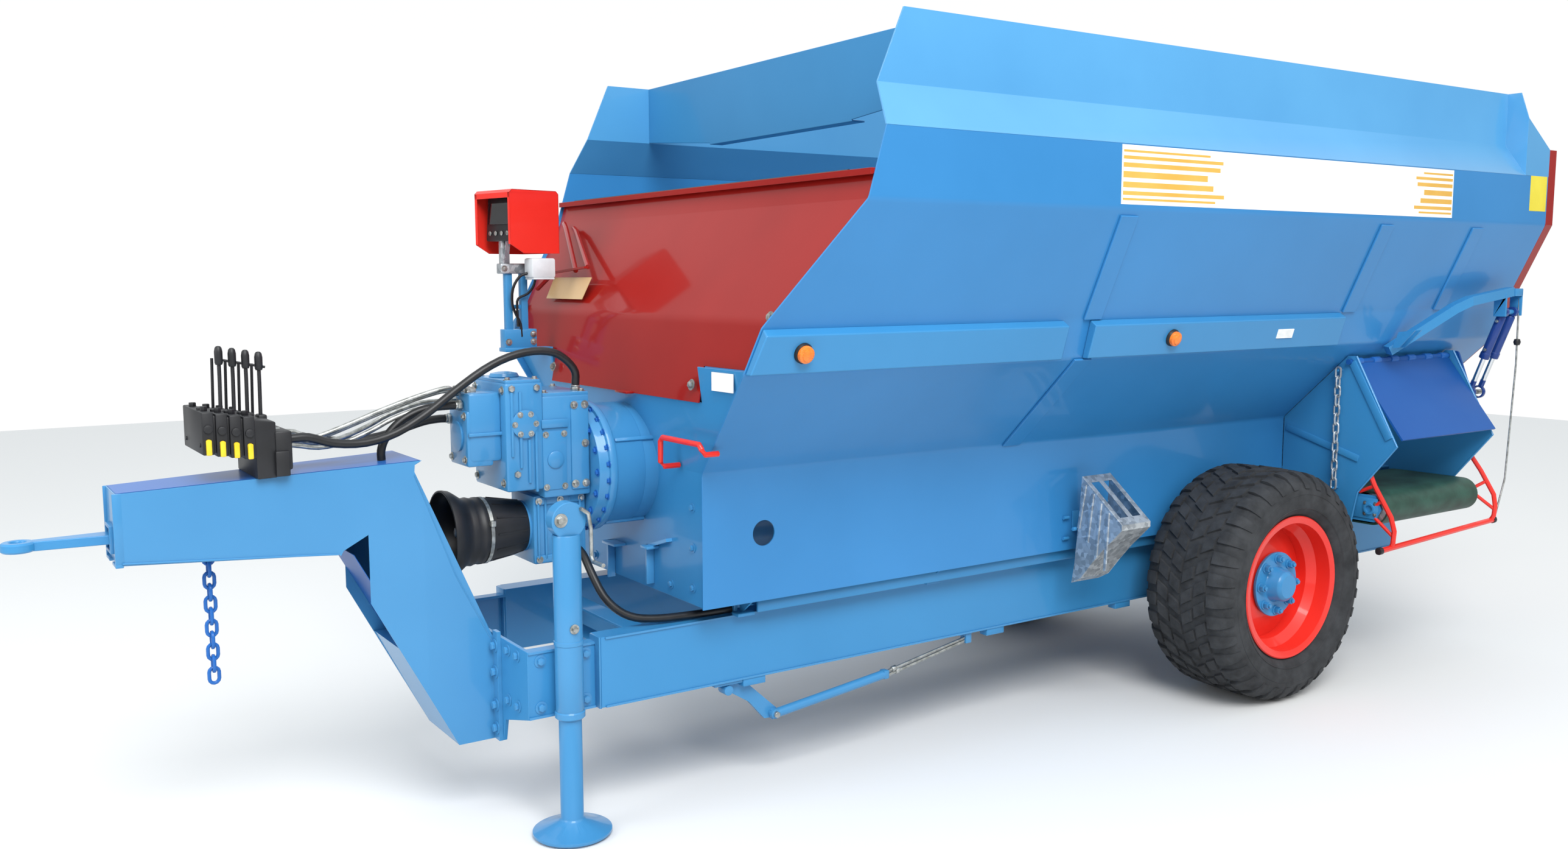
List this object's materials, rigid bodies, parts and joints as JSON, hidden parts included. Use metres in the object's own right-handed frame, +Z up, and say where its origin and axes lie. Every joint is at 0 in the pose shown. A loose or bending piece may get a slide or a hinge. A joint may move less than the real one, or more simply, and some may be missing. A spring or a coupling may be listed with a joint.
{
  "type": "feed mixer wagon",
  "caption": "Towed feed mixer wagon with an open mixing tub, lying auger, side discharge with cross conveyor, gooseneck drawbar and parking jack.",
  "frame": {"origin": "on the floor, in the middle of the overall length and width", "axes": "+X forward to the tow eye, +Y to the left of the wagon, +Z up"},
  "size_m": [6.36, 2.25, 2.659],
  "materials": {
    "paint_blue": "glossy light blue paint",
    "paint_red": "glossy red paint",
    "paint_navy": "glossy dark blue paint",
    "worn_steel": "worn bare steel",
    "zinc": "galvanised",
    "rod_chrome": "hard chrome",
    "black_plastic": "matt black",
    "black_metal": "satin black paint",
    "belt_rubber": "dark green belting",
    "tyre_rubber": "matt black rubber",
    "hose_rubber": "satin black",
    "lamp_orange": "clear orange lens"
  },
  "bodies": {
    "chassis": {"frame": "paint_blue", "drawbar": "paint_blue", "tow_eye": "paint_blue", "jack_tube": "paint_blue", "jack_foot": "paint_blue", "axle": "paint_blue", "trough": "paint_blue", "side_wall_left": "paint_blue", "side_wall_right": "paint_blue", "extension_left": "paint_blue", "extension_right": "paint_blue", "cross_wall": "paint_blue", "rail_left": "paint_blue", "rail_right": "paint_blue", "gear_housing": "paint_blue", "gearbox": "paint_blue", "weighing_post": "paint_blue", "discharge_housing": "paint_blue", "discharge_arm": "paint_blue", "conveyor_frame": "paint_blue", "brake_linkage": "paint_blue", "safety_chain": "paint_blue", "front_wall": "paint_red", "rear_wall": "paint_red", "weighing_box": "paint_red", "conveyor_guard": "paint_red", "front_handle": "paint_red", "hold_chain": "zinc", "wheel_chock": "zinc", "pto_guard": "black_plastic", "valve_block": "black_metal", "conveyor_belt": "belt_rubber", "hose_upper": "hose_rubber", "hose_middle": "hose_rubber", "hose_riser": "hose_rubber", "hose_lower": "hose_rubber", "marker_lamps": "lamp_orange"},
    "auger": {"auger": "worn_steel"},
    "flap": {"discharge_flap": "paint_blue"},
    "barrel": {"flap_cylinder": "paint_navy"},
    "rod": {"flap_rod": "rod_chrome"},
    "wheel_left": {"hub_left": "paint_blue", "rim_left": "paint_red", "tyre_left": "tyre_rubber"},
    "wheel_right": {"hub_right": "paint_blue", "rim_right": "paint_red", "tyre_right": "tyre_rubber"}
  },
  "joints": [
    {"name": "wheel_left_spin", "type": "hinge", "parent": "chassis", "child": "wheel_left", "pos_m": [-1.48, 0.78, 0.5], "axis": [0, 1, 0], "continuous": true},
    {"name": "wheel_right_spin", "type": "hinge", "parent": "chassis", "child": "wheel_right", "pos_m": [-1.48, -0.78, 0.5], "axis": [0, 1, 0], "continuous": true},
    {"name": "auger_spin", "type": "hinge", "parent": "chassis", "child": "auger", "pos_m": [0, 0, 1.15], "axis": [1, 0, 0], "continuous": true},
    {"name": "flap_swing", "type": "hinge", "parent": "chassis", "child": "flap", "pos_m": [-2.39, 0.86977, 1.44], "axis": [1, 0, 0], "range_deg": [-22, 30]},
    {"name": "barrel_swing", "type": "hinge", "parent": "chassis", "child": "barrel", "pos_m": [-2.875, 1.07476, 1.65], "axis": [1, 0, 0], "range_deg": [-8, 11]},
    {"name": "rod_slide", "type": "slide", "parent": "barrel", "child": "rod", "axis": [0, -0.339, -0.9408], "range_m": [-0.068, 0.051]}
  ],
  "couplings": [
    {"joint": "barrel_swing", "follows": "flap_swing", "ratio": 0.34},
    {"joint": "rod_slide", "follows": "flap_swing", "m_per_rad": -0.126}
  ]
}
